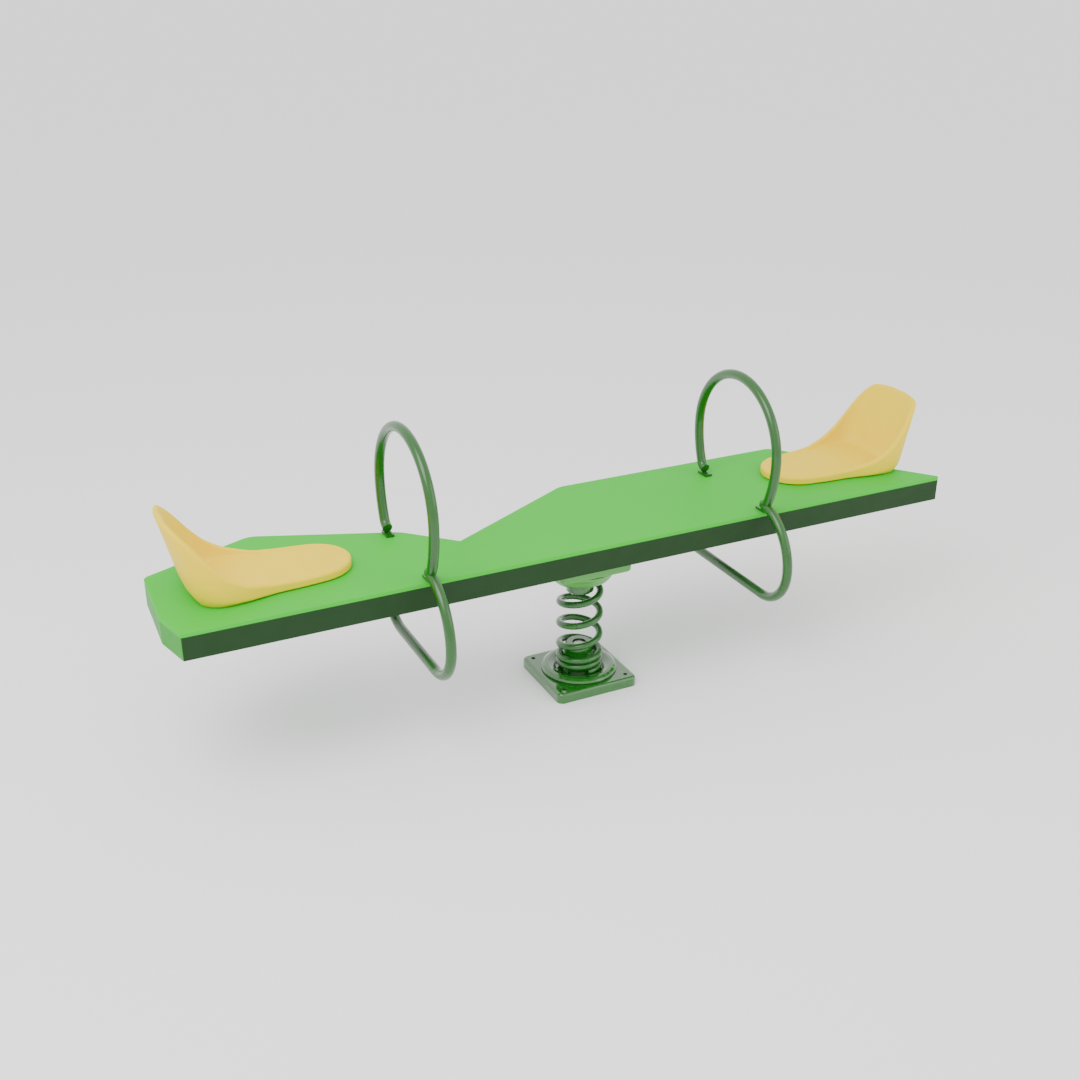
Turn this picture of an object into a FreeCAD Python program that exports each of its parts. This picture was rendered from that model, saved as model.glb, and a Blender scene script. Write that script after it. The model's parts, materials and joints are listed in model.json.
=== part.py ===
import FreeCAD, Part
import math
import os

# Spring seesaw for two riders.
# Frame: millimetres, +Z up, origin at the middle of the base's underside, on the spring's axis.
# X runs along the deck, Y across it, and the deck's straight long edge is on the -Y side.

# ---------- driving dimensions ----------

DECK_TOP = 522.0
DECK_BOTTOM = 442.0
PANEL_THICK = 12.0
BOARD_THICK = 12.0

BASE_SIDE = 271.0
BASE_HEIGHT = 32.0
BASE_WALL = 5.0
BASE_CORNER_R = 20.0
BASE_EDGE_R = 9.0
BASE_PLATE_THICK = 12.0
BASE_PLATE_GAP = 1.0
SPACER_WALL = 5.0
ANCHOR_SPACING = 214.0
ANCHOR_HOLE_R = 6.5

WIRE_D = 21.0
SPRING_MEAN_R = 62.3
SPRING_BOTTOM_Z = BASE_HEIGHT + WIRE_D / 2
CLOSED_PITCH = 21.7
OPEN_PITCH = 72.7
LOWER_CLOSED_TURNS = 2.0
UPPER_CLOSED_TURNS = 1.0
OPEN_TURNS = 2.93
LOWER_RAMP_TURNS = 0.70
UPPER_RAMP_TURNS = 0.50
SPRING_GAP = 2.0
SPRING_SEAT_GAP = 0.5
SPRING_START_DEG = -90.0
SPRING_POINTS_PER_TURN = 16

MOUNT_SIDE = 236.0
MOUNT_TOP = 450.0
MOUNT_WALL = 5.0
MOUNT_BOLT_X = 84.0
MOUNT_BOLT_Y = 80.0
MOUNT_BOLT_R = 6.0
BOLT_CLEARANCE = 0.5
MOUNT_HEAD_H = 8.0
MOUNT_NUT_H = 6.0
MOUNT_HEX_HALF = 9.0
THREAD_END = 2.0

PLUG_R = 51.2
PLUG_NECK_R = 43.0
PLUG_GRIP_HEIGHT = 58.0
PLUG_HEIGHT = 88.0
PLUG_TAPER = 6.0
PLUG_CHAMFER = 4.0
PLUG_BORE_GAP = 4.0
CUP_DEPTH = 44.0
CENTRE_BOLT_R = 10.0
CENTRE_HEAD_R = 17.0
CENTRE_HEAD_H = 13.0
CENTRE_HEAD_SINK = 18.0
CENTRE_SHANK_LOW_Z = 1.0
CENTRE_SHANK_TOP_GAP = 8.0

RAIL_W = 50.0
RAIL_H = 40.0
RAIL_WALL = 3.0
BAR_W = 40.0
BAR_H = 20.0
BAR_WALL = 2.5
FRAME_REACH = 1300.0
PANEL_EDGE_R = 2.5
BOARD_EDGE_R = 2.0

TUBE_R = 15.0
TUBE_WALL = 2.5
HANDLE_X = 547.0
HANDLE_Y = 9.0
RING_R = 213.0
RING_CENTRE_Z = 688.0
CUSP_CLEARANCE = 6.5
CUSP_Z = DECK_TOP + TUBE_R + CUSP_CLEARANCE
VOID_SHORT_DEG = 8.0
CUSP_BEND_R = 32.0
RING_LEAN_DEG = 22.0
CUSP_HEADING_DEG = 80.0
LOOP_OUT_R = 176.0
LOOP_BEND_R = 122.0
PLATE_W = 24.0
PLATE_THICK = 8.0
PLATE_LENGTH = 46.0
HOOK_TOP_Z = 500.0
HOOK_BLOCK_LOW_Z = 450.0
HOOK_BLOCK_GAP = 0.3
HOOK_BLOCK_THICK = 3.0

SEAT_Y = 55.0
SEAT_NOSE_X = 703.0
SEAT_LENGTH = 458.0
SEAT_FLOOR = 26.0
SEAT_WALL = 7.0
SEAT_TOP = 250.0
SEAT_BOLT_R = 4.0
SEAT_LEAN = 56.0
SEAT_FLARE = 5.0
SEAT_BOSS_R = 14.0
SEAT_WASHER_R = 9.0
SEAT_WASHER_H = 1.5
SEAT_HEAD_H = 5.5
SEAT_HEX_HALF = 6.5
SEAT_HOLE_DEPTH = 16.0
SEAT_THREAD_LENGTH = 14.0

# Ring round the spring's foot and cup round its head, as (radius, height from the flat).
RING_PROFILE = [(115.0, 0.0), (118.0, 5.0), (115.0, 11.0), (107.0, 15.0), (97.0, 16.0),
                (86.0, 13.0)]
RING_INNER_H = 8.0
CUP_PROFILE = [(116.0, 0.0), (113.0, 8.0), (104.0, 18.0), (97.0, 30.0), (89.0, 39.0),
               (80.0, CUP_DEPTH)]

# Deck outline, clockwise seen from above, as (x, y, corner radius).
# One long edge is straight; the other has a V-notch left of the middle.
DECK_CORNERS = [
    (-1226.0, -174.0, 5.0),
    (-1256.0, -56.0, 34.0),
    (-1248.0, 196.0, 22.0),
    (-918.0, 342.0, 60.0),
    (-508.0, 178.0, 70.0),
    (-373.0, 42.0, 4.0),
    (72.0, 288.0, 70.0),
    (874.0, 286.0, 40.0),
    (1226.0, -174.0, 5.0),
]

# The nine edge boards, one for each side of the outline.
BOARD_NAMES = [
    "left_end_board_near",
    "left_end_board",
    "left_slant_board",
    "far_board_left",
    "notch_board_left",
    "notch_board_right",
    "far_board_right",
    "right_slant_board",
    "near_board",
]

# Cross bars under the panel, as (name, x).
CROSS_BARS = [
    ("cross_bar_seat_left", -880.0),
    ("cross_bar_handle_left", -HANDLE_X),
    ("cross_bar_mount_left", -MOUNT_BOLT_X),
    ("cross_bar_mount_right", MOUNT_BOLT_X),
    ("cross_bar_handle_right", HANDLE_X),
    ("cross_bar_seat_right", 880.0),
]

# Rails along the deck, as (name, first x, last x, middle y). Two run through the waist
# beside the notch, and the far pair stop short of it.
RAILS = [
    ("rail_near", -FRAME_REACH, FRAME_REACH, -MOUNT_BOLT_Y),
    ("rail_middle", -FRAME_REACH, FRAME_REACH, -5.0),
    ("rail_far_left", -FRAME_REACH, -480.0, MOUNT_BOLT_Y),
    ("rail_far_right", -200.0, FRAME_REACH, MOUNT_BOLT_Y),
]

# Seat outline on the deck, as (distance back from the nose, half width).
SEAT_HALF_OUTLINE = [(0.0, 0.0), (20.0, 60.0), (70.0, 98.0), (150.0, 112.0), (240.0, 120.0),
                     (330.0, 140.0), (400.0, 142.0), (442.0, 112.0), (456.0, 55.0), (458.0, 0.0)]

# Seat bolts, as (distance back from the nose, offset from the seat's middle).
SEAT_BOLTS = [(110.0, -60.0), (110.0, 60.0), (240.0, -60.0), (240.0, 60.0)]

# Rim height above the deck along the seat, as (distance back from the nose, height).
SEAT_RIM = [(-30.0, 27.0), (80.0, 27.0), (170.0, 28.0), (250.0, 31.0), (325.0, 40.0),
            (380.0, 72.0), (420.0, 118.0), (460.0, 172.0), (500.0, 226.0), (560.0, 258.0)]


# ---------- small helpers ----------

def vec(x, y, z):
    return FreeCAD.Vector(x, y, z)


def save(name, shape):
    """Write one named piece; every piece must be a valid closed solid."""
    solids = shape.Solids
    if len(solids) > 1:
        shape = Part.makeCompound(solids)
    else:
        shape = solids[0]
    if not shape.isValid():
        raise ValueError(name + " is not valid")
    shape.exportStep("parts/" + name + ".step")
    print(name, len(solids), round(shape.Volume / 1000.0, 1), "cm3")


def box(x0, x1, y0, y1, z0, z1):
    return Part.makeBox(x1 - x0, y1 - y0, z1 - z0, vec(x0, y0, z0))


def cylinder(x, y, z0, z1, radius):
    return Part.makeCylinder(radius, z1 - z0, vec(x, y, z0))


def hex_head(x, y, z0, height, across_half):
    """Hexagonal bolt head standing on z0."""
    corner = across_half / math.cos(math.radians(30))
    points = [vec(x + corner * math.cos(math.radians(60 * k)),
                  y + corner * math.sin(math.radians(60 * k)), z0) for k in range(7)]
    return Part.Face(Part.makePolygon(points)).extrude(vec(0, 0, height))


def mirrored_x(shape):
    return shape.mirror(vec(0, 0, 0), vec(1, 0, 0))


def edges_at_height(shape, z):
    """Edges that lie flat at height z."""
    return [e for e in shape.Edges
            if abs(e.BoundBox.ZMin - z) < 0.01 and abs(e.BoundBox.ZMax - z) < 0.01]


def upright_edges(shape):
    return [e for e in shape.Edges
            if e.BoundBox.XLength < 0.01 and e.BoundBox.YLength < 0.01]


def revolved(profile):
    """Closed (radius, z) polygon turned about the Z axis."""
    points = [vec(r, 0, z) for r, z in profile]
    points.append(points[0])
    return Part.Face(Part.makePolygon(points)).revolve(vec(0, 0, 0), vec(0, 0, 1), 360)


# ---------- deck outline ----------

def inset_corners(inset):
    """Deck corners moved inwards by inset, each with its new corner radius."""
    count = len(DECK_CORNERS)
    moved = []
    for k in range(count):
        x0, y0, _ = DECK_CORNERS[k - 1]
        x1, y1, radius = DECK_CORNERS[k]
        x2, y2, _ = DECK_CORNERS[(k + 1) % count]
        before = vec(x1 - x0, y1 - y0, 0).normalize()
        after = vec(x2 - x1, y2 - y1, 0).normalize()
        normal_before = vec(before.y, -before.x, 0)
        normal_after = vec(after.y, -after.x, 0)
        turn = before.x * after.y - before.y * after.x
        bisector = (normal_before + normal_after).normalize()
        length = inset / bisector.dot(normal_before)
        new_radius = max(radius - inset, 1.0) if turn < 0 else radius + inset
        moved.append((x1 + bisector.x * length, y1 + bisector.y * length, new_radius))
    return moved


def rounded_face(corners, z):
    """Flat face at height z with a tangent arc at each corner."""
    count = len(corners)
    starts = []
    ends = []
    mids = []
    for k in range(count):
        here = vec(corners[k][0], corners[k][1], z)
        back = (vec(corners[k - 1][0], corners[k - 1][1], z) - here).normalize()
        ahead_corner = corners[(k + 1) % count]
        ahead = (vec(ahead_corner[0], ahead_corner[1], z) - here).normalize()
        half = back.getAngle(ahead) / 2
        radius = corners[k][2]
        reach = radius / math.tan(half)
        middle = (back + ahead).normalize()
        centre = here + middle * (radius / math.sin(half))
        starts.append(here + back * reach)
        ends.append(here + ahead * reach)
        mids.append(centre - middle * radius)
    edges = []
    for k in range(count):
        edges.append(Part.Arc(starts[k], mids[k], ends[k]).toShape())
        edges.append(Part.LineSegment(ends[k], starts[(k + 1) % count]).toShape())
    return Part.Face(Part.Wire(edges))


def deck_prism(inset, z0, z1):
    return rounded_face(inset_corners(inset), z0).extrude(vec(0, 0, z1 - z0))


# ---------- base ----------

def base_cover():
    """Pressed tray with a rounded rim, open below, with the four anchor holes."""
    half = BASE_SIDE / 2
    outer = box(-half, half, -half, half, 0, BASE_HEIGHT)
    outer = outer.makeFillet(BASE_CORNER_R, upright_edges(outer))
    outer = outer.makeFillet(BASE_EDGE_R, edges_at_height(outer, BASE_HEIGHT))
    inner_half = half - BASE_WALL
    inner = box(-inner_half, inner_half, -inner_half, inner_half, -1, BASE_HEIGHT - BASE_WALL)
    inner = inner.makeFillet(BASE_CORNER_R - BASE_WALL, upright_edges(inner))
    tray = outer.cut(inner)
    for x, y in anchor_places():
        tray = tray.cut(cylinder(x, y, -1, BASE_HEIGHT + 1, ANCHOR_HOLE_R))
    return tray.cut(cylinder(0, 0, -1, BASE_HEIGHT + 1, CENTRE_BOLT_R))


def anchor_places():
    half = ANCHOR_SPACING / 2
    return [(sx * half, sy * half) for sx in (-1, 1) for sy in (-1, 1)]


def base_plate():
    """Thick plate inside the tray that the spring's centre bolt pulls on."""
    half = BASE_SIDE / 2 - BASE_WALL - BASE_PLATE_GAP
    plate = box(-half, half, -half, half, 0, BASE_PLATE_THICK)
    plate = plate.makeFillet(BASE_CORNER_R - BASE_WALL - BASE_PLATE_GAP, upright_edges(plate))
    for x, y in anchor_places():
        plate = plate.cut(cylinder(x, y, -1, BASE_PLATE_THICK + 1, ANCHOR_HOLE_R))
    return plate.cut(cylinder(0, 0, -1, BASE_PLATE_THICK + 1, CENTRE_BOLT_R))


def base_spacers():
    """Five sleeves between the plate and the tray's top, one round each bolt."""
    low = BASE_PLATE_THICK
    high = BASE_HEIGHT - BASE_WALL
    sleeves = []
    for x, y in anchor_places():
        sleeves.append(cylinder(x, y, low, high, ANCHOR_HOLE_R + SPACER_WALL)
                       .cut(cylinder(x, y, low, high, ANCHOR_HOLE_R)))
    sleeves.append(cylinder(0, 0, low, high, PLUG_NECK_R)
                   .cut(cylinder(0, 0, low, high, CENTRE_BOLT_R)))
    return Part.makeCompound(sleeves)


def base_ring():
    """Domed ring on the tray, round the foot of the spring."""
    inner = SPRING_MEAN_R + WIRE_D / 2 + SPRING_GAP
    profile = [(inner, 0.0)] + RING_PROFILE + [(inner, RING_INNER_H)]
    return revolved([(r, BASE_HEIGHT + h) for r, h in profile])


# ---------- spring ----------

def spring_height(turn):
    """Height of the wire's centreline after a number of turns from its lower end."""
    ramp_start = LOWER_CLOSED_TURNS
    open_start = ramp_start + LOWER_RAMP_TURNS
    open_end = open_start + OPEN_TURNS
    close_start = open_end + UPPER_RAMP_TURNS
    mean_pitch = (CLOSED_PITCH + OPEN_PITCH) / 2
    height = SPRING_BOTTOM_Z + CLOSED_PITCH * min(turn, ramp_start)
    if turn > ramp_start:
        part = min(turn - ramp_start, LOWER_RAMP_TURNS)
        gain = (OPEN_PITCH - CLOSED_PITCH) / LOWER_RAMP_TURNS
        height += CLOSED_PITCH * part + gain * part * part / 2
    if turn > open_start:
        height += OPEN_PITCH * min(turn - open_start, OPEN_TURNS)
    if turn > open_end:
        part = min(turn - open_end, UPPER_RAMP_TURNS)
        gain = (CLOSED_PITCH - OPEN_PITCH) / UPPER_RAMP_TURNS
        height += OPEN_PITCH * part + gain * part * part / 2
    if turn > close_start:
        height += CLOSED_PITCH * (turn - close_start)
    return height


def spring_turns():
    return (LOWER_CLOSED_TURNS + LOWER_RAMP_TURNS + OPEN_TURNS + UPPER_RAMP_TURNS
            + UPPER_CLOSED_TURNS)


def spring_point(turn):
    angle = math.radians(SPRING_START_DEG + 360.0 * turn)
    return vec(SPRING_MEAN_R * math.cos(angle), SPRING_MEAN_R * math.sin(angle),
               spring_height(turn))


def main_spring():
    """Right-handed coil spring with closed end turns."""
    count = int(spring_turns() * SPRING_POINTS_PER_TURN)
    points = [spring_point(spring_turns() * k / count) for k in range(count + 1)]
    curve = Part.BSplineCurve()
    curve.interpolate(points)
    path = Part.Wire([curve.toShape()])
    start = points[0]
    heading = curve.tangent(curve.FirstParameter)[0]
    section = Part.Wire([Part.makeCircle(WIRE_D / 2, start, heading)])
    return sweep(path, section)


def sweep(path, section):
    """Solid of a closed section carried along a path."""
    return path.makePipeShell([section], True, True)


def spring_top():
    return spring_height(spring_turns()) + WIRE_D / 2


# ---------- plugs and centre bolts ----------

def plug(z_flat, direction):
    """Core inside the spring's closed turns, bored and counterbored for its bolt."""
    def at(height):
        return z_flat + direction * height
    bore = CENTRE_HEAD_R + PLUG_BORE_GAP
    seat = PLUG_HEIGHT - CENTRE_HEAD_SINK
    profile = [(CENTRE_BOLT_R, 0), (PLUG_R, 0), (PLUG_R, PLUG_GRIP_HEIGHT),
               (PLUG_NECK_R, PLUG_GRIP_HEIGHT + PLUG_TAPER),
               (PLUG_NECK_R, PLUG_HEIGHT - PLUG_CHAMFER),
               (PLUG_NECK_R - PLUG_CHAMFER, PLUG_HEIGHT), (bore, PLUG_HEIGHT),
               (bore, seat), (CENTRE_BOLT_R, seat)]
    return revolved([(r, at(h)) for r, h in profile])


def centre_bolt(z_shank_end, z_flat, direction):
    """Bolt from the plug's counterbore through to z_shank_end."""
    seat = z_flat + direction * (PLUG_HEIGHT - CENTRE_HEAD_SINK)
    low, high = min(z_shank_end, seat), max(z_shank_end, seat)
    shank = cylinder(0, 0, low, high, CENTRE_BOLT_R - BOLT_CLEARANCE)
    head_low = seat if direction > 0 else seat - CENTRE_HEAD_H
    return shank.fuse(hex_head(0, 0, head_low, CENTRE_HEAD_H, CENTRE_HEAD_R)).removeSplitter()


# ---------- mount under the deck ----------

def mount_box():
    """Square pressed box between the spring's top and the two rails."""
    z_flat = mount_bottom()
    half = MOUNT_SIDE / 2
    outer = box(-half, half, -half, half, z_flat, MOUNT_TOP)
    outer = outer.makeFillet(BASE_CORNER_R, upright_edges(outer))
    outer = outer.makeFillet(BASE_EDGE_R, edges_at_height(outer, z_flat))
    inner_half = half - MOUNT_WALL
    inner = box(-inner_half, inner_half, -inner_half, inner_half,
                z_flat + MOUNT_WALL, MOUNT_TOP - MOUNT_WALL)
    inner = inner.makeFillet(BASE_CORNER_R - MOUNT_WALL, upright_edges(inner))
    shell = outer.cut(inner).cut(cylinder(0, 0, z_flat - 1, MOUNT_TOP + 1, CENTRE_BOLT_R))
    for x, y in mount_bolt_places():
        shell = shell.cut(cylinder(x, y, z_flat - 1, MOUNT_TOP + 1, MOUNT_BOLT_R + BOLT_CLEARANCE))
    return shell


def upper_cup():
    """Flared cup under the mount box, round the head of the spring."""
    inner = SPRING_MEAN_R + WIRE_D / 2 + SPRING_GAP
    profile = [(inner, 0.0)] + CUP_PROFILE + [(inner, CUP_DEPTH)]
    return revolved([(r, mount_bottom() - h) for r, h in profile])


def mount_bottom():
    return round(spring_top() + SPRING_SEAT_GAP, 1)


def mount_bolt_places():
    return [(sx * MOUNT_BOLT_X, sy * MOUNT_BOLT_Y) for sx in (-1, 1) for sy in (-1, 1)]


def mount_bolts():
    """Four bolts from the box's top plate up into the cross bars, each with its nut."""
    pieces = []
    nut_z = DECK_TOP - PANEL_THICK - BAR_H + BAR_WALL
    head_z = MOUNT_TOP - MOUNT_WALL - MOUNT_HEAD_H
    shank_z = head_z + MOUNT_HEAD_H
    for x, y in mount_bolt_places():
        shank = cylinder(x, y, shank_z, nut_z + MOUNT_NUT_H + THREAD_END, MOUNT_BOLT_R)
        head = hex_head(x, y, head_z, MOUNT_HEAD_H, MOUNT_HEX_HALF)
        pieces.append(shank.fuse(head).removeSplitter())
        nut = hex_head(x, y, nut_z, MOUNT_NUT_H, MOUNT_HEX_HALF)
        pieces.append(nut.cut(cylinder(x, y, nut_z, nut_z + MOUNT_NUT_H, MOUNT_BOLT_R)))
    return Part.makeCompound(pieces)


def rail(x0, x1, y):
    """Box-section rail, cut to the gap between the edge boards, with its mount holes."""
    z0 = DECK_TOP - PANEL_THICK - BAR_H - RAIL_H
    z1 = z0 + RAIL_H
    outer = box(x0, x1, y - RAIL_W / 2, y + RAIL_W / 2, z0, z1)
    inner = box(x0 - 1, x1 + 1, y - RAIL_W / 2 + RAIL_WALL, y + RAIL_W / 2 - RAIL_WALL,
                z0 + RAIL_WALL, z1 - RAIL_WALL)
    tube = outer.cut(inner).common(deck_prism(BOARD_THICK, z0, z1))
    for hole_x, hole_y in mount_bolt_places():
        if abs(hole_y - y) < 1.0:
            tube = tube.cut(cylinder(hole_x, hole_y, z0 - 1, z1 + 1,
                                     MOUNT_BOLT_R + BOLT_CLEARANCE))
    return tube


def cross_bar(x):
    """Box-section bar across the deck, cut to the gap between the edge boards."""
    z1 = DECK_TOP - PANEL_THICK
    outer = box(x - BAR_W / 2, x + BAR_W / 2, -FRAME_REACH, FRAME_REACH, z1 - BAR_H, z1)
    inner = box(x - BAR_W / 2 + BAR_WALL, x + BAR_W / 2 - BAR_WALL, -FRAME_REACH, FRAME_REACH,
                z1 - BAR_H + BAR_WALL, z1 - BAR_WALL)
    bar = outer.cut(inner).common(deck_prism(BOARD_THICK, z1 - BAR_H, z1))
    for hole_x, hole_y in mount_bolt_places():
        if abs(hole_x - x) < 1.0:
            bar = bar.cut(cylinder(hole_x, hole_y, z1 - BAR_H - 1, z1 - BAR_WALL,
                                   MOUNT_BOLT_R + BOLT_CLEARANCE))
    return bar


# ---------- deck ----------

def deck_panel():
    """Top panel with softened upper edges and the seats' bolt holes."""
    panel = deck_prism(0.0, DECK_TOP - PANEL_THICK, DECK_TOP)
    panel = panel.makeFillet(PANEL_EDGE_R, edges_at_height(panel, DECK_TOP))
    for side in (-1, 1):
        for x, y in seat_bolt_places(side):
            panel = panel.cut(cylinder(x, y, 0, DECK_TOP + 1, SEAT_BOLT_R + BOLT_CLEARANCE))
    return panel


def edge_boards():
    """Boards under the panel's rim, mitred where they meet."""
    z1 = DECK_TOP - PANEL_THICK
    rim = deck_prism(0.0, DECK_BOTTOM, z1).cut(deck_prism(BOARD_THICK, DECK_BOTTOM, z1))
    rim = rim.makeFillet(BOARD_EDGE_R, outer_low_edges(rim))
    inner = inset_corners(BOARD_THICK)
    count = len(DECK_CORNERS)
    boards = []
    for k in range(count):
        follow = (k + 1) % count
        quad = []
        for corner, part in ((k, -2.0), (follow, -2.0), (follow, 2.6), (k, 2.6)):
            x, y, _ = DECK_CORNERS[corner]
            quad.append(vec(x + part * (inner[corner][0] - x),
                            y + part * (inner[corner][1] - y), DECK_BOTTOM - 1))
        quad.append(quad[0])
        wedge = Part.Face(Part.makePolygon(quad)).extrude(vec(0, 0, z1 - DECK_BOTTOM + 2))
        boards.append((BOARD_NAMES[k], rim.common(wedge)))
    return boards


def outer_low_edges(rim):
    """Lower edges of the outer face only."""
    outline = rounded_face(inset_corners(0.0), DECK_BOTTOM).OuterWire
    found = []
    for edge in edges_at_height(rim, DECK_BOTTOM):
        middle = edge.valueAt((edge.FirstParameter + edge.LastParameter) / 2)
        if Part.Vertex(middle).distToShape(outline)[0] < 0.01:
            found.append(edge)
    return found


# ---------- handles and foot loops ----------
# A point in a handle's plane is (u, z), with u the distance from the handle's middle.
# Side 1 is towards the near edge, and side -1 towards the far edge.

def handle_point(side, u, z):
    return vec(0, HANDLE_Y - side * u, z)


def arc_edge(side, first, middle, last):
    return Part.Arc(handle_point(side, *first), handle_point(side, *middle),
                    handle_point(side, *last)).toShape()


def line_edge(first, last):
    return Part.LineSegment(handle_point(*first), handle_point(*last)).toShape()


def inward_bend(u, z, radius, heading_from, heading_to):
    """Middle and end of a bend towards the middle; headings are degrees from straight down."""
    def at(heading):
        began = math.radians(heading_from)
        turned = math.radians(heading)
        return (u - radius * (math.cos(began) - math.cos(turned)),
                z - radius * (math.sin(turned) - math.sin(began)))
    return at((heading_from + heading_to) / 2), at(heading_to)


def ring_side(cusp_heading):
    """One side of the ring, from its widest place down to the cusp."""
    lean = math.radians(RING_LEAN_DEG)
    tight_down = CUSP_BEND_R * (math.sin(math.radians(CUSP_HEADING_DEG)) - math.sin(lean))
    gentle_r = (RING_CENTRE_Z - CUSP_Z - tight_down) / math.sin(lean)
    gentle_mid, gentle_end = inward_bend(RING_R, RING_CENTRE_Z, gentle_r, 0.0, RING_LEAN_DEG)
    tight_mid, tight_end = inward_bend(gentle_end[0], gentle_end[1], CUSP_BEND_R,
                                       RING_LEAN_DEG, cusp_heading)
    return gentle_mid, gentle_end, tight_mid, tight_end


def ring_path(cusp_heading):
    """Ring open at the bottom: half circle, then a gentle side and a tight bend each way."""
    gentle_mid, gentle_end, tight_mid, tight_end = ring_side(cusp_heading)
    wide = (RING_R, RING_CENTRE_Z)
    top = handle_point(1, 0.0, RING_CENTRE_Z + RING_R)
    edges = [Part.Arc(handle_point(1, *wide), top, handle_point(-1, *wide)).toShape()]
    for side in (1, -1):
        edges.append(arc_edge(side, tight_end, tight_mid, gentle_end))
        edges.append(arc_edge(side, gentle_end, gentle_mid, wide))
    return Part.Wire(Part.__sortEdges__(edges))


def loop_wide_place():
    """Widest place of the foot loop, which starts at the ring's tip."""
    tip_u, tip_z = ring_side(CUSP_HEADING_DEG)[3]
    heading = math.radians(CUSP_HEADING_DEG)
    return (tip_u + LOOP_OUT_R * (1 - math.cos(heading)),
            tip_z - LOOP_OUT_R * math.sin(heading))


def outward_bend(wide_u, wide_z, cusp_heading):
    """From the cusp out over the deck's edge and down to the widest place."""
    def at(angle):
        return (wide_u - LOOP_OUT_R * (1 - math.cos(angle)),
                wide_z + LOOP_OUT_R * math.sin(angle))
    start = math.radians(cusp_heading)
    return arc_edge(1, at(start), at(start / 2), at(0.0))


def lower_bend(side, wide_u, wide_z):
    """Quarter circle from upright to the bar."""
    bar_u = wide_u - LOOP_BEND_R
    diagonal = LOOP_BEND_R * math.sqrt(0.5)
    return arc_edge(side, (wide_u, wide_z), (bar_u + diagonal, wide_z - diagonal),
                    (bar_u, wide_z - LOOP_BEND_R))


def far_edge(side):
    """Y of the deck's far edge beside a handle, and the cosine of the edge's slope."""
    for k, (x0, y0, _) in enumerate(DECK_CORNERS[:-1]):
        x1, y1, _ = DECK_CORNERS[k + 1]
        if x0 <= side * HANDLE_X <= x1 and y0 > 0:
            slope = (y1 - y0) / (x1 - x0)
            return y0 + slope * (side * HANDLE_X - x0), 1.0 / math.hypot(1.0, slope)


def far_strand_u(side):
    """Distance of the loop's far strand from the handle's middle, clear of the far board."""
    edge_y, cosine = far_edge(side)
    return edge_y + (HOOK_BLOCK_GAP + HOOK_BLOCK_THICK + TUBE_R) / cosine - HANDLE_Y


def loop_path(side, cusp_heading, end_gap):
    """Foot loop: out over the near edge, down, across under the deck, and straight up
    outside the far edge, where it stops beside the far board."""
    wide_u, wide_z = loop_wide_place()
    far_u = far_strand_u(side)
    bar_z = wide_z - LOOP_BEND_R
    edges = [outward_bend(wide_u, wide_z, cusp_heading),
             lower_bend(1, wide_u, wide_z),
             line_edge((1, wide_u - LOOP_BEND_R, bar_z), (-1, far_u - LOOP_BEND_R, bar_z)),
             lower_bend(-1, far_u, wide_z),
             line_edge((-1, far_u, wide_z), (-1, far_u, HOOK_TOP_Z - end_gap))]
    return Part.Wire(Part.__sortEdges__(edges))


def pipe(path, radius):
    """Round bar of a radius along a path."""
    first = path.OrderedEdges[0]
    start = path.OrderedVertexes[0].Point
    heading = first.tangentAt(first.Curve.parameter(start))
    return sweep(path, Part.Wire([Part.makeCircle(radius, start, heading)]))


def ring_outside():
    return pipe(ring_path(CUSP_HEADING_DEG), TUBE_R)


def loop_outside(side):
    return pipe(loop_path(side, CUSP_HEADING_DEG, 0.0), TUBE_R)


def handle_ring():
    """Bent tube, hollow, with closed ends."""
    void = pipe(ring_path(CUSP_HEADING_DEG - VOID_SHORT_DEG), TUBE_R - TUBE_WALL)
    return ring_outside().cut(void)


def foot_loop(side):
    """Bent tube, hollow, with closed ends."""
    void_path = loop_path(side, CUSP_HEADING_DEG - VOID_SHORT_DEG, TUBE_WALL)
    return loop_outside(side).cut(pipe(void_path, TUBE_R - TUBE_WALL))


def weld_plate(side, towards):
    """Flat plate on the deck under one end of the ring, hollowed where the tubes are welded."""
    half = PLATE_W / 2
    middle_y = HANDLE_Y - towards * ring_side(CUSP_HEADING_DEG)[3][0]
    plate = box(-half, half, middle_y - PLATE_LENGTH / 2, middle_y + PLATE_LENGTH / 2,
                DECK_TOP, DECK_TOP + PLATE_THICK)
    return plate.cut(ring_outside()).cut(loop_outside(side))


def hook_block(side):
    """Block between the far board and the loop's far strand, shaped to both, in place."""
    half = PLATE_W / 2
    strand_y = HANDLE_Y + far_strand_u(side)
    block = box(-half, half, strand_y - 2 * TUBE_R, strand_y, HOOK_BLOCK_LOW_Z, HOOK_TOP_Z)
    block = block.cut(loop_outside(side))
    block.translate(vec(side * HANDLE_X, 0, 0))
    return block.cut(deck_prism(-HOOK_BLOCK_GAP, DECK_BOTTOM, DECK_TOP))


# ---------- seats ----------

def seat_outline(grow, lean, z):
    """Closed smooth outline of the seat at one height, in seat coordinates."""
    right = [(s, w) for s, w in SEAT_HALF_OUTLINE]
    left = [(s, -w) for s, w in SEAT_HALF_OUTLINE[-2:0:-1]]
    middle = SEAT_LENGTH / 2
    points = []
    for s, w in right + left:
        reach = 1.0 + grow / middle
        stretch = 1.0 + grow / max(p[1] for p in SEAT_HALF_OUTLINE)
        back_share = max(0.0, (s - middle) / middle)
        points.append(vec(middle + (s - middle) * reach + lean * back_share, w * stretch, z))
    curve = Part.BSplineCurve()
    curve.interpolate(points, PeriodicFlag=True)
    return Part.Wire([curve.toShape()])


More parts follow.
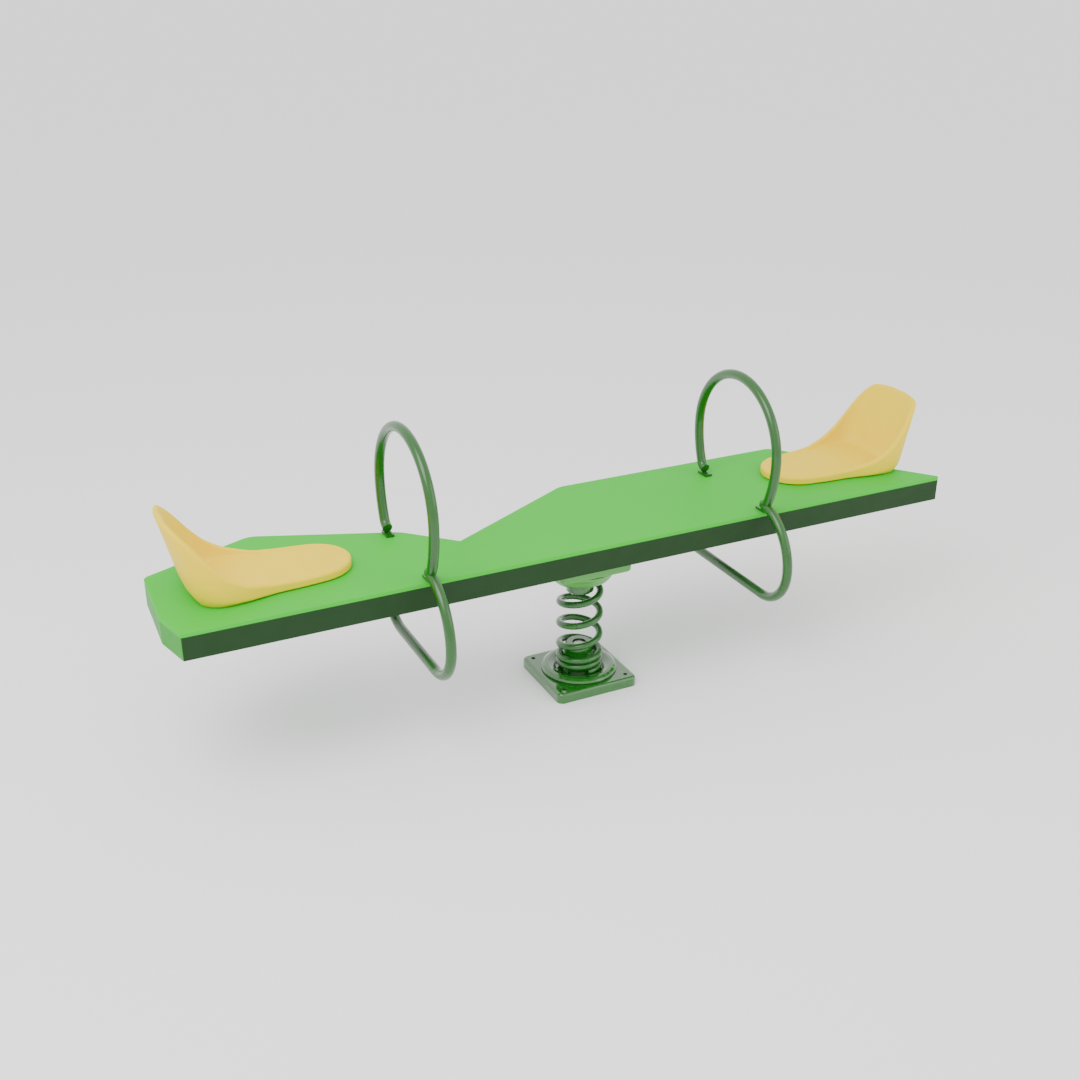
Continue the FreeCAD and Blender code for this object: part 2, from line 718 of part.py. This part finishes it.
def seat_shell():
    """Moulded bucket: flat floor, low front rim, and a back that rises behind."""
    outer = Part.makeLoft([seat_outline(0.0, 0.0, 0.0), seat_outline(SEAT_FLARE, SEAT_LEAN, SEAT_TOP + 10)],
                          True, True)
    inner = Part.makeLoft([seat_outline(-SEAT_WALL, 0.0, SEAT_FLOOR),
                           seat_outline(SEAT_FLARE - SEAT_WALL, SEAT_LEAN, SEAT_TOP + 11)], True, True)
    under = Part.makeLoft([seat_outline(-SEAT_WALL, 0.0, -1.0),
                           seat_outline(-SEAT_WALL, 0.0, SEAT_FLOOR - SEAT_WALL)], True, True)
    rim = Part.BSplineCurve()
    rim.interpolate([vec(s, -300, h) for s, h in SEAT_RIM])
    high = 400.0
    first, last = SEAT_RIM[0], SEAT_RIM[-1]
    lid = [rim.toShape(),
           Part.LineSegment(vec(last[0], -300, last[1]), vec(last[0], -300, high)).toShape(),
           Part.LineSegment(vec(last[0], -300, high), vec(first[0], -300, high)).toShape(),
           Part.LineSegment(vec(first[0], -300, high), vec(first[0], -300, first[1])).toShape()]
    above_rim = Part.Face(Part.Wire(lid)).extrude(vec(0, 600, 0))
    shell = outer.cut(inner).cut(above_rim).cut(under)
    for s, w in SEAT_BOLTS:
        boss = cylinder(s, w, 0.0, SEAT_FLOOR - SEAT_WALL + 1.0, SEAT_BOSS_R)
        shell = shell.fuse(boss)
    for s, w in SEAT_BOLTS:
        shell = shell.cut(cylinder(s, w, -1.0, SEAT_HOLE_DEPTH, SEAT_BOLT_R + BOLT_CLEARANCE))
    return shell


def seat_bolt_places(side):
    return [(side * (SEAT_NOSE_X + s), SEAT_Y + w) for s, w in SEAT_BOLTS]


def placed_seat(side):
    seat = seat_shell()
    seat.translate(vec(SEAT_NOSE_X, SEAT_Y, DECK_TOP))
    return seat if side > 0 else mirrored_x(seat)


def seat_bolts(side):
    """Four bolts with washers for one seat, up through the panel into the seat's bosses."""
    pieces = []
    washer_top = DECK_TOP - PANEL_THICK
    washer_z = washer_top - SEAT_WASHER_H
    for x, y in seat_bolt_places(side):
        washer = cylinder(x, y, washer_z, washer_top, SEAT_WASHER_R).cut(
            cylinder(x, y, washer_z, washer_top, SEAT_BOLT_R))
        head = hex_head(x, y, washer_z - SEAT_HEAD_H, SEAT_HEAD_H, SEAT_HEX_HALF)
        shank = cylinder(x, y, washer_z, DECK_TOP + SEAT_THREAD_LENGTH, SEAT_BOLT_R)
        pieces += [washer, head.fuse(shank).removeSplitter()]
    return Part.makeCompound(pieces)


# ---------- write every piece ----------

def main():
    os.makedirs("parts", exist_ok=True)
    save("base_cover", base_cover())
    save("base_plate", base_plate())
    save("base_spacers", base_spacers())
    save("base_ring", base_ring())
    save("lower_plug", plug(BASE_HEIGHT, 1))
    save("lower_centre_bolt", centre_bolt(CENTRE_SHANK_LOW_Z, BASE_HEIGHT, 1))
    save("main_spring", main_spring())
    save("upper_plug", plug(mount_bottom(), -1))
    save("upper_centre_bolt", centre_bolt(MOUNT_TOP - CENTRE_SHANK_TOP_GAP, mount_bottom(), -1))
    save("upper_cup", upper_cup())
    save("mount_box", mount_box())
    save("mount_bolts", mount_bolts())
    for name, x0, x1, y in RAILS:
        save(name, rail(x0, x1, y))
    for name, x in CROSS_BARS:
        save(name, cross_bar(x))
    save("deck_panel", deck_panel())
    for name, board in edge_boards():
        save(name, board)
    for side, word in ((-1, "left"), (1, "right")):
        for name, shape in (("handle_ring_", handle_ring()),
                            ("foot_loop_", foot_loop(side)),
                            ("near_plate_", weld_plate(side, 1)),
                            ("far_plate_", weld_plate(side, -1))):
            shape.translate(vec(side * HANDLE_X, 0, 0))
            save(name + word, shape)
        save("hook_block_" + word, hook_block(side))
        save("seat_" + word, placed_seat(side))
        save("seat_bolts_" + word, seat_bolts(side))
    print("spring top", spring_top(), "mount bottom", mount_bottom())


main()
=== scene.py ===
import bpy
import json
import math
import numpy as np
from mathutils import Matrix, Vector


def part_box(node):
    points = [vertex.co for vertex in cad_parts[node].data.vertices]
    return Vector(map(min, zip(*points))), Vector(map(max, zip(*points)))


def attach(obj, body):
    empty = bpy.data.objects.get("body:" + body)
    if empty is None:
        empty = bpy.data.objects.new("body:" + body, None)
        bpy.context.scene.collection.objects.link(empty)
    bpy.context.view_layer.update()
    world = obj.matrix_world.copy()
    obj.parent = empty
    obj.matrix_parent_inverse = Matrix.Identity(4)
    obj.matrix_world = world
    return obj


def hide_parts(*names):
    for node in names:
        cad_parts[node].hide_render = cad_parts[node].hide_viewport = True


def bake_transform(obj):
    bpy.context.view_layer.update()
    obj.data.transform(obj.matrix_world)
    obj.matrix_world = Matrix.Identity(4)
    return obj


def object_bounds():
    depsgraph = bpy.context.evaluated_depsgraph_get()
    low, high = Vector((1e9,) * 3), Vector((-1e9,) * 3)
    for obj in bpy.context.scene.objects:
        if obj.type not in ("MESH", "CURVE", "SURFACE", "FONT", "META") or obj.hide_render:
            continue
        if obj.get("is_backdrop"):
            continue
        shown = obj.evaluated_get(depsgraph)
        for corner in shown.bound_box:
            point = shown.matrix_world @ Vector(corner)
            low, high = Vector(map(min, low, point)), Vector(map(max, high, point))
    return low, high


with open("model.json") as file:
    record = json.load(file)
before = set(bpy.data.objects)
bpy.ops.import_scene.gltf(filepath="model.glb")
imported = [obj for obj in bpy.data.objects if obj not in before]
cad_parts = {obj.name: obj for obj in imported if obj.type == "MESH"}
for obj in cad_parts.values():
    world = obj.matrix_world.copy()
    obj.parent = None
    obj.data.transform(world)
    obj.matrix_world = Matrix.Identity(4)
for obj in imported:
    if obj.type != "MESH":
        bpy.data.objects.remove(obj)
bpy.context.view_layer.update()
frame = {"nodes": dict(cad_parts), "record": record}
nodes = frame["nodes"]
print("seesaw: frame loaded")


def gridMesh(name, points, closeAcross, capEnds):
    # points is (along, across, 3); each cell is one quad, and each end can close on its own middle point
    along, across = points.shape[:2]
    index = np.arange(along * across).reshape(along, across)
    nextAcross = np.roll(index, -1, axis=1) if closeAcross else index[:, 1:]
    here = index if closeAcross else index[:, :-1]
    quads = np.stack([here[:-1], nextAcross[:-1], nextAcross[1:], here[1:]], axis=-1).reshape(-1, 4)
    verts = points.reshape(-1, 3)
    faces = quads.tolist()
    if capEnds:
        verts = np.vstack([verts, points[0].mean(axis=0), points[-1].mean(axis=0)])
        middle = np.full(across, along * across)
        faces += np.stack([middle, np.roll(index[0], -1), index[0]], axis=1).tolist()
        faces += np.stack([middle + 1, index[-1], np.roll(index[-1], -1)], axis=1).tolist()
    mesh = bpy.data.meshes.new(name)
    mesh.from_pydata(verts.tolist(), [], faces)
    mesh.polygons.foreach_set("use_smooth", np.ones(len(mesh.polygons), dtype=bool))
    mesh.update()
    return mesh


def addPiece(name, mesh, material):
    # one object at the origin, linked to the scene
    piece = bpy.data.objects.new(name, mesh)
    bpy.context.scene.collection.objects.link(piece)
    mesh.materials.append(material)
    return piece


def unit(vectors):
    # each vector divided by its own length
    return vectors / np.linalg.norm(vectors, axis=-1, keepdims=True)


tubeEnd = dict(rows=5, push=0.12, tip=0.04)


def tubeAlong(path, side, radius, around):
    # centre + radius * (cos a * side + sin a * (tangent x side)), with the ends rounded over
    tangent = unit(np.gradient(path, axis=0))
    across = unit(side - tangent * np.sum(side * tangent, axis=1, keepdims=True))
    other = np.cross(tangent, across)
    size = np.full(len(path), radius)
    turn = np.linspace(0.0, 0.5 * math.pi, tubeEnd["rows"] + 1)[1:]
    capSize = radius * np.maximum(np.cos(turn), tubeEnd["tip"])
    push = tubeEnd["push"] * radius * np.sin(turn)
    startPath = path[0] - tangent[0] * push[::-1, None]
    endPath = path[-1] + tangent[-1] * push[:, None]
    path = np.vstack([startPath, path, endPath])
    size = np.concatenate([capSize[::-1], size, capSize])
    ends = (tubeEnd["rows"], tubeEnd["rows"])
    across = np.pad(across, (ends, (0, 0)), mode="edge")
    other = np.pad(other, (ends, (0, 0)), mode="edge")
    angle = np.linspace(0.0, 2.0 * math.pi, around, endpoint=False)
    ring = (np.cos(angle)[None, :, None] * across[:, None, :]
            + np.sin(angle)[None, :, None] * other[:, None, :])
    return path[:, None, :] + ring * size[:, None, None]


def smoothClosed(points, steps):
    # Catmull-Rom curve through the points and back to the first
    points = np.array(points, float)
    t = np.linspace(0.0, 1.0, steps, endpoint=False)[None, :, None]
    a, b, c, d = (np.roll(points, shift, axis=0)[:, None, :] for shift in (1, 0, -1, -2))
    curve = 0.5 * (2 * b + (c - a) * t + (2 * a - 5 * b + 4 * c - d) * t ** 2
                   + (3 * b - a - 3 * c + d) * t ** 3)
    return curve.reshape(-1, points.shape[1])


def newGroup(name, inputs, outputs):
    # empty node group with its sockets, and its input and output nodes
    group = bpy.data.node_groups.new(name, "ShaderNodeTree")
    for label, kind, value in inputs:
        socket = group.interface.new_socket(label, in_out="INPUT", socket_type=kind)
        if value is not None:
            socket.default_value = value
    for label, kind in outputs:
        group.interface.new_socket(label, in_out="OUTPUT", socket_type=kind)
    return group, group.nodes.new("NodeGroupInput"), group.nodes.new("NodeGroupOutput")


def noiseNode(tree, vector, scale, detail):
    # smooth noise between 0 and 1
    noise = tree.nodes.new("ShaderNodeTexNoise")
    noise.inputs["Detail"].default_value = detail
    tree.links.new(vector, noise.inputs["Vector"])
    tree.links.new(scale, noise.inputs["Scale"])
    return noise.outputs["Fac"]


def mathNode(tree, operation, first, second):
    # one sum on two values or sockets
    node = tree.nodes.new("ShaderNodeMath")
    node.operation = operation
    for slot, value in enumerate((first, second)):
        if isinstance(value, (int, float)):
            node.inputs[slot].default_value = value
        else:
            tree.links.new(value, node.inputs[slot])
    return node.outputs[0]


skin = dict(toneScale=6.0, toneDetail=3.0, peelScale=200.0, broadDetail=1.0, fineDetail=2.0,
            fineTimes=4.0, fineShare=0.3, scuffScale=20.0, scuffDetail=6.0, scuffFrom=0.35,
            scuffTo=0.75, bumpDepth=0.001, coatRough=0.08, colorA=6, colorB=7, colorOut=2)


def makeToneGroup():
    # colour drifts between two tones in soft patches
    group, start, end = newGroup("softTone", [("Vector", "NodeSocketVector", None),
        ("Scale", "NodeSocketFloat", skin["toneScale"]), ("Main", "NodeSocketColor", None),
        ("Second", "NodeSocketColor", None)], [("Color", "NodeSocketColor")])
    fac = noiseNode(group, start.outputs["Vector"], start.outputs["Scale"], skin["toneDetail"])
    mix = group.nodes.new("ShaderNodeMix")
    mix.data_type = "RGBA"
    group.links.new(fac, mix.inputs["Factor"])
    group.links.new(start.outputs["Main"], mix.inputs[skin["colorA"]])
    group.links.new(start.outputs["Second"], mix.inputs[skin["colorB"]])
    group.links.new(mix.outputs[skin["colorOut"]], end.inputs["Color"])
    return group


def makePeelGroup():
    # height of an orange-peel skin: a broad ripple with a finer one on top
    group, start, end = newGroup("orangePeel", [("Vector", "NodeSocketVector", None),
        ("Scale", "NodeSocketFloat", skin["peelScale"])], [("Height", "NodeSocketFloat")])
    broad = noiseNode(group, start.outputs["Vector"], start.outputs["Scale"], skin["broadDetail"])
    fineScale = mathNode(group, "MULTIPLY", start.outputs["Scale"], skin["fineTimes"])
    fine = noiseNode(group, start.outputs["Vector"], fineScale, skin["fineDetail"])
    height = mathNode(group, "ADD", broad, mathNode(group, "MULTIPLY", fine, skin["fineShare"]))
    group.links.new(height, end.inputs["Height"])
    return group


def makeScuffGroup():
    # roughness rises in small worn patches
    group, start, end = newGroup("scuffs", [("Vector", "NodeSocketVector", None),
        ("Scale", "NodeSocketFloat", skin["scuffScale"]), ("Smooth", "NodeSocketFloat", 0.3),
        ("Worn", "NodeSocketFloat", 0.5)], [("Roughness", "NodeSocketFloat")])
    fac = noiseNode(group, start.outputs["Vector"], start.outputs["Scale"], skin["scuffDetail"])
    spread = group.nodes.new("ShaderNodeMapRange")
    spread.inputs["From Min"].default_value = skin["scuffFrom"]
    spread.inputs["From Max"].default_value = skin["scuffTo"]
    group.links.new(fac, spread.inputs["Value"])
    group.links.new(start.outputs["Smooth"], spread.inputs["To Min"])
    group.links.new(start.outputs["Worn"], spread.inputs["To Max"])
    group.links.new(spread.outputs["Result"], end.inputs["Roughness"])
    return group


groups = {"tone": makeToneGroup(), "peel": makePeelGroup(), "scuff": makeScuffGroup()}

# colours are linear; metal and coat are the same all over the piece
finishes = {
    "deck_green": dict(shine=0.25, main=(0.022, 0.460, 0.016), second=(0.027, 0.490, 0.019), smooth=0.60,
                       worn=0.58, peel=260.0, bump=0.05, coat=0.0, metal=0.0),
    # painted shade: edge_green is a dark copy of the deck green, standing in for the shade that falls on
    # the near side boards
    "edge_green": dict(shine=0.25, main=(0.0050, 0.034, 0.0040), second=(0.0065, 0.040, 0.005),
                       smooth=0.50,
                       worn=0.62, peel=260.0, bump=0.06, coat=0.0, metal=0.0),
    # painted light: end_green is a mid-green copy of the deck green, standing in for the light falling
    # on the deck's end faces
    "end_green": dict(shine=0.25, main=(0.018, 0.270, 0.012), second=(0.022, 0.295, 0.015), smooth=0.48,
                      worn=0.60, peel=260.0, bump=0.06, coat=0.0, metal=0.0),
    "tube_green": dict(main=(0.0050, 0.080, 0.0020), second=(0.007, 0.092, 0.003), smooth=0.26,
                       worn=0.32, peel=420.0, bump=0.06, coat=0.35, metal=0.0),
    "mount_green": dict(main=(0.060, 0.300, 0.038), second=(0.070, 0.335, 0.045), smooth=0.34,
                        worn=0.46, peel=420.0, bump=0.06, coat=0.2, metal=0.0),
    "spring_green": dict(main=(0.0080, 0.095, 0.0055), second=(0.010, 0.112, 0.007), smooth=0.24,
                         worn=0.30, peel=420.0, bump=0.07, coat=0.4, metal=0.0),
    "base_green": dict(main=(0.0090, 0.110, 0.0060), second=(0.012, 0.130, 0.008), smooth=0.10,
                       worn=0.20, peel=380.0, bump=0.03, coat=1.0, metal=0.0),
    "seat_yellow": dict(shine=0.25, main=(0.86, 0.600, 0.000), second=(0.88, 0.620, 0.000), smooth=0.50,
                        worn=0.60, peel=330.0, bump=0.05, coat=0.0, metal=0.0),
    "galvanised_frame": dict(main=(0.40, 0.42, 0.43), second=(0.58, 0.60, 0.61), smooth=0.34,
                             worn=0.56, peel=90.0, bump=0.05, coat=0.0, metal=1.0),
    "zinc_steel": dict(main=(0.52, 0.52, 0.50), second=(0.62, 0.62, 0.60), smooth=0.28,
                       worn=0.44, peel=300.0, bump=0.04, coat=0.0, metal=1.0),
}


def makeMaterial(slot, look):
    # two-tone colour, patchy roughness and a fine bumped skin
    material = bpy.data.materials.new(slot)
    material.use_nodes = True
    tree = material.node_tree
    shader = tree.nodes["Principled BSDF"]
    where = tree.nodes.new("ShaderNodeTexCoord").outputs["Object"]
    placed = {}
    for key, group in groups.items():
        node = tree.nodes.new("ShaderNodeGroup")
        node.node_tree = group
        tree.links.new(where, node.inputs["Vector"])
        placed[key] = node
    placed["tone"].inputs["Main"].default_value = (*look["main"], 1.0)
    placed["tone"].inputs["Second"].default_value = (*look["second"], 1.0)
    placed["peel"].inputs["Scale"].default_value = look["peel"]
    placed["scuff"].inputs["Smooth"].default_value = look["smooth"]
    placed["scuff"].inputs["Worn"].default_value = look["worn"]
    bump = tree.nodes.new("ShaderNodeBump")
    bump.inputs["Strength"].default_value = look["bump"]
    bump.inputs["Distance"].default_value = skin["bumpDepth"]
    tree.links.new(placed["peel"].outputs["Height"], bump.inputs["Height"])
    tree.links.new(bump.outputs["Normal"], shader.inputs["Normal"])
    tree.links.new(placed["tone"].outputs["Color"], shader.inputs["Base Color"])
    tree.links.new(placed["scuff"].outputs["Roughness"], shader.inputs["Roughness"])
    shader.inputs["Metallic"].default_value = look["metal"]
    shader.inputs["Coat Weight"].default_value = look["coat"]
    shader.inputs["Specular IOR Level"].default_value = look.get("shine", 0.5)
    shader.inputs["Coat Roughness"].default_value = skin["coatRough"]
    return material


materials = {slot: makeMaterial(slot, look) for slot, look in finishes.items()}
for entry in frame["record"]["subparts"]:
    node = nodes[entry["node"]]
    node.data.materials.clear()
    node.data.materials.append(materials[entry["material_slot"]])
print("seesaw: materials on every node")


spring = dict(wire=0.021, closedPitch=0.0217, openPitch=0.0727, lowTurns=2.0, lowRamp=0.70,
              openTurns=2.93, highRamp=0.50, highTurns=1.0, startDeg=-90.0, perTurn=64,
              around=28, cutTurn=3.9, rootZ=0.095, headZ=0.340, joinHalf=0.012,
              sumSteps=6000)


def springPath(first, last):
    # x, y = R cos a, R sin a; z is the running sum of a pitch that ramps open and shut again
    low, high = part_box("main_spring")
    meanR = (high.x - low.x) / 2 - spring["wire"] / 2
    total = sum(spring[k] for k in ("lowTurns", "lowRamp", "openTurns", "highRamp", "highTurns"))
    fine = np.linspace(0.0, total, spring["sumSteps"])
    openAt = spring["lowTurns"] + spring["lowRamp"]
    shutAt = openAt + spring["openTurns"]
    knots = [0.0, spring["lowTurns"], openAt, shutAt, shutAt + spring["highRamp"], total]
    closed, wide = spring["closedPitch"], spring["openPitch"]
    pitch = np.interp(fine, knots, [closed, closed, wide, wide, closed, closed])
    rise = np.concatenate([[0.0], np.cumsum((pitch[1:] + pitch[:-1]) / 2 * np.diff(fine))])
    turn = np.linspace(first, total if last is None else last,
                       int(((total if last is None else last) - first) * spring["perTurn"]))
    angle = math.radians(spring["startDeg"]) + 2 * math.pi * turn
    radial = np.stack([np.cos(angle), np.sin(angle), np.zeros_like(angle)], axis=1)
    z = low.z + spring["wire"] / 2 + np.interp(turn, fine, rise)
    return radial * meanR + np.array([0, 0, 1.0]) * z[:, None], radial


for name, first, last in (("spring_lower_coils", 0.0, spring["cutTurn"]),
                          ("spring_upper_coils", spring["cutTurn"], None)):
    path, radial = springPath(first, last)
    coil = addPiece(name, gridMesh(name, tubeAlong(path, radial, spring["wire"] / 2,
                    spring["around"]), True, True), materials["spring_green"])
    if last:
        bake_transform(coil)
        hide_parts("main_spring")
    else:
        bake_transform(coil)
print("seesaw: spring")


handle = dict(tube=0.015, lean=22.0, cusp=80.0, cuspBend=0.032, cuspLift=0.0215, loopOut=0.176,
              loopBend=0.122, hookTop=0.500, step=0.004, leastSteps=8, around=32)


def turtle(start, heading, moves):
    # walks in the (u, z) plane: each move is a straight length, or a radius and a turn in degrees
    points, at = [np.array([start])], np.array(start, float)
    angle = math.radians(heading)
    for radius, amount in moves:
        if radius is None:
            count = max(2, int(amount / handle["step"]))
            reach = np.linspace(0.0, amount, count)[1:, None]
            leg = at + reach * np.array([math.cos(angle), math.sin(angle)])
        else:
            turn = math.radians(amount)
            count = max(handle["leastSteps"], int(abs(turn) * radius / handle["step"]))
            sign = math.copysign(1.0, turn)
            sweep = angle + np.linspace(0.0, turn, count)[1:]
            leg = at + sign * radius * np.stack([np.sin(sweep) - math.sin(angle),
                                                 math.cos(angle) - np.cos(sweep)], axis=1)
            angle += turn
        points.append(leg)
        at = leg[-1]
    return np.vstack(points)


def inPlane(flat, handleX, middleY):
    # (u, z) stands at x = handle X, y = middle Y - u, z = z
    return np.stack([np.full(len(flat), handleX), middleY - flat[:, 0], flat[:, 1]], axis=1)


for word in ("left", "right"):
    low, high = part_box("handle_ring_" + word)
    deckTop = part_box("deck_panel")[1].z
    handleX = (low.x + high.x) / 2
    middleY = (low.y + high.y) / 2
    ringR = (high.y - low.y) / 2 - handle["tube"]
    ringZ = high.z - handle["tube"] - ringR
    cuspZ = deckTop + handle["cuspLift"]
    lean, cusp = math.radians(handle["lean"]), math.radians(handle["cusp"])
    gentleR = (ringZ - cuspZ - handle["cuspBend"] * (math.sin(cusp) - math.sin(lean))) / math.sin(lean)
    half = turtle((0.0, ringZ + ringR), 0.0, [(ringR, -90.0), (gentleR, -handle["lean"]),
                  (handle["cuspBend"], handle["lean"] - handle["cusp"])])
    ringFlat = np.vstack([(half * np.array([-1.0, 1.0]))[::-1], half[1:]])
    tip = half[-1]
    nearSide = turtle(tip, handle["cusp"] - 90.0, [(handle["loopOut"], -handle["cusp"]),
                      (handle["loopBend"], -90.0)])
    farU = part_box("foot_loop_" + word)[1].y - handle["tube"] - middleY
    wideZ = nearSide[:, 1][np.argmax(nearSide[:, 0])]
    farSide = turtle((farU, handle["hookTop"]), -90.0, [(None, handle["hookTop"] - wideZ),
                     (handle["loopBend"], -90.0)])
    span = nearSide[-1][0] + farSide[-1][0]
    bar = turtle(nearSide[-1], 180.0, [(None, span)])[1:-1]
    loopFlat = np.vstack([nearSide, bar, (farSide * np.array([-1.0, 1.0]))[::-1]])
    for name, flat in (("handle_ring_", ringFlat), ("foot_loop_", loopFlat)):
        path = inPlane(flat, handleX, middleY)
        side = np.tile([1.0, 0.0, 0.0], (len(path), 1))
        tube = addPiece("bent_" + name + word, gridMesh(name + word, tubeAlong(path, side,
                        handle["tube"], handle["around"]), True, True), materials["tube_green"])
        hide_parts(name + word)
        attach(tube, "beam")
print("seesaw: handles and foot loops")


seat = dict(nose=0.703, middleY=0.055, length=0.458, top=0.250, floor=0.026, lip=0.009, flare=0.005,
            lean=0.056, spineFrom=0.150, spineTo=0.330, perSpan=16, settleTurns=6, smoothOver=13,
            under=(0.98, 0.6, 0.3, 0.1), underZ=0.0005, footZ=0.001, footCurl=0.012, footShare=0.2,
            leastWall=0.004, wall=(0.0, 0.02, 0.06, 0.12, 0.2, 0.35, 0.5, 0.65, 0.8, 0.9, 1.0),
            lipSteps=10, runLeast=0.010, runSlope=0.22, runMost=0.6, innerSteps=16, innerPower=4,
            panSteps=8, panReach=0.98,
            outline=[(0.0, 0.0), (0.020, 0.060), (0.070, 0.098), (0.150, 0.112), (0.240, 0.120),
                     (0.330, 0.140), (0.400, 0.142), (0.442, 0.112), (0.456, 0.055), (0.458, 0.0)],
            rim=[(-0.030, 0.027), (0.170, 0.028), (0.250, 0.033), (0.325, 0.052), (0.380, 0.086),
                 (0.420, 0.130), (0.460, 0.184), (0.495, 0.224), (0.520, 0.236), (0.560, 0.240)])


def seatSurface():
    # rows run from under the middle out to the foot, up the wall, over a half-round lip, down
    # inside (height falls as (1 - x)^4, which leaves a crease at the pan) and in to the spine;
    # every row is pushed back by lean * share * z / top, so the back slopes outward
    half = seat["outline"]
    curve = smoothClosed(half + [(s, -w) for s, w in half[-2:0:-1]], seat["perSpan"])
    s, w = curve[:, 0], curve[:, 1]
    spine = np.stack([np.clip(s, seat["spineFrom"], seat["spineTo"]), np.zeros_like(s)], axis=1)
    inward = spine - curve
    length = np.linalg.norm(inward, axis=1)
    inward = inward / length[:, None]
    middle = seat["length"] / 2
    share = np.clip((s - middle) / middle, 0.0, 1.0)
    knots = np.array(seat["rim"])
    height = np.zeros_like(s)
    for _ in range(seat["settleTurns"]):
        height = np.interp(s + seat["lean"] * share * height / seat["top"], knots[:, 0], knots[:, 1])
    kernel = np.hanning(seat["smoothOver"])
    reach = seat["smoothOver"] // 2
    wrapped = np.concatenate([height[-reach:], height, height[:reach]])
    height = np.convolve(wrapped, kernel / kernel.sum(), mode="valid")
    lip, floorZ = seat["lip"], seat["floor"]
    rows = []

    def row(inset, z):
        place = curve + inward * (inset - seat["flare"] * z / seat["top"])[:, None]
        pushed = place[:, 0] + seat["lean"] * share * z / seat["top"]
        rows.append(np.stack([pushed, place[:, 1], z], axis=1))

    zero = np.zeros_like(s)
    for part in seat["under"]:
        row(length * part, zero + seat["underZ"])
    wallHeight = np.maximum(height - lip - seat["footZ"], seat["leastWall"])
    for part in seat["wall"]:
        curl = seat["footCurl"] * (1 - min(part / seat["footShare"], 1.0)) ** 2
        row(zero + curl, seat["footZ"] + wallHeight * part)
    for angle in np.linspace(0.0, math.pi, seat["lipSteps"] + 1)[1:]:
        z = height - lip + lip * math.sin(angle)
        row(zero + lip * (1 - math.cos(angle)), np.maximum(z, floorZ) if angle > math.pi / 2 else z)
    drop = np.maximum(height - lip - floorZ, 0.0)
    run = np.minimum(seat["runLeast"] + seat["runSlope"] * drop, length * seat["runMost"])
    start = 2 * lip + run
    for x in np.linspace(0.0, 1.0, seat["innerSteps"] + 1)[1:]:
        row(2 * lip + run * x, floorZ + drop * (1 - x) ** seat["innerPower"])
    for x in np.linspace(0.0, seat["panReach"], seat["panSteps"] + 1)[1:]:
        row(start + (length - start) * x, zero + floorZ)
    return np.array(rows)


for word, side in (("left", -1.0), ("right", 1.0)):
    surface = seatSurface()
    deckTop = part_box("deck_panel")[1].z
    placed = np.stack([side * (seat["nose"] + surface[:, :, 0]), seat["middleY"] + surface[:, :, 1],
                       deckTop + surface[:, :, 2]], axis=-1)
    if side > 0:
        placed = placed[:, ::-1]
    mesh = gridMesh("seat_" + word, placed, True, True)
    bucket = addPiece("bucket_seat_" + word, mesh, materials["seat_yellow"])
    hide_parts("seat_" + word)
    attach(bucket, "beam")
print("seesaw: seats")


studio = dict(floorHalf=80.0, floorColor=(0.93, 0.93, 0.93), world=(1.0, 1.0, 1.0), worldPower=1.55)

floorMesh = bpy.data.meshes.new("floor")
h = studio["floorHalf"]
floorMesh.from_pydata([(-h, -h, 0), (h, -h, 0), (h, h, 0), (-h, h, 0)], [], [(0, 1, 2, 3)])
floorMaterial = bpy.data.materials.new("floor")
floorMaterial.use_nodes = True
floorShader = floorMaterial.node_tree.nodes["Principled BSDF"]
floorShader.inputs["Base Color"].default_value = (*studio["floorColor"], 1.0)
floorShader.inputs["Roughness"].default_value = 0.9
floor = addPiece("floor", floorMesh, floorMaterial)
floor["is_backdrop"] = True

world = bpy.data.worlds.new("studio")
world.use_nodes = True
world.node_tree.nodes["Background"].inputs["Color"].default_value = (*studio["world"], 1.0)
world.node_tree.nodes["Background"].inputs["Strength"].default_value = studio["worldPower"]
bpy.context.scene.world = world

for name, place, aim, size, power in (("key", (-2.6, -1.2, 4.2), (0, 0, 0.4), 3.0, 150.0),
                                      ("fill", (3.4, -3.6, 2.6), (0, 0, 0.4), 3.0, 45.0)):
    light = bpy.data.lights.new(name, "AREA")
    light.size, light.energy = size, power
    lamp = bpy.data.objects.new(name, light)
    bpy.context.scene.collection.objects.link(lamp)
    lamp.location = place
    direction = np.array(aim) - np.array(place)
    flat = math.hypot(direction[0], direction[1])
    lamp.rotation_euler = (math.atan2(flat, -direction[2]), 0, math.atan2(-direction[0], direction[1]))

shot = dict(place=(-1.6918, -3.2022, 2.1162), yaw=-0.4524, pitch=0.4275, lens=44.09)
camera = bpy.data.cameras.new("camera")
camera.lens, camera.sensor_width = shot["lens"], 36.0
eye = bpy.data.objects.new("camera", camera)
bpy.context.scene.collection.objects.link(eye)
eye.location = shot["place"]
eye.rotation_euler = (math.pi / 2 - shot["pitch"], 0, shot["yaw"])
bpy.context.scene.camera = eye
print("seesaw: studio")

low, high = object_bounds()
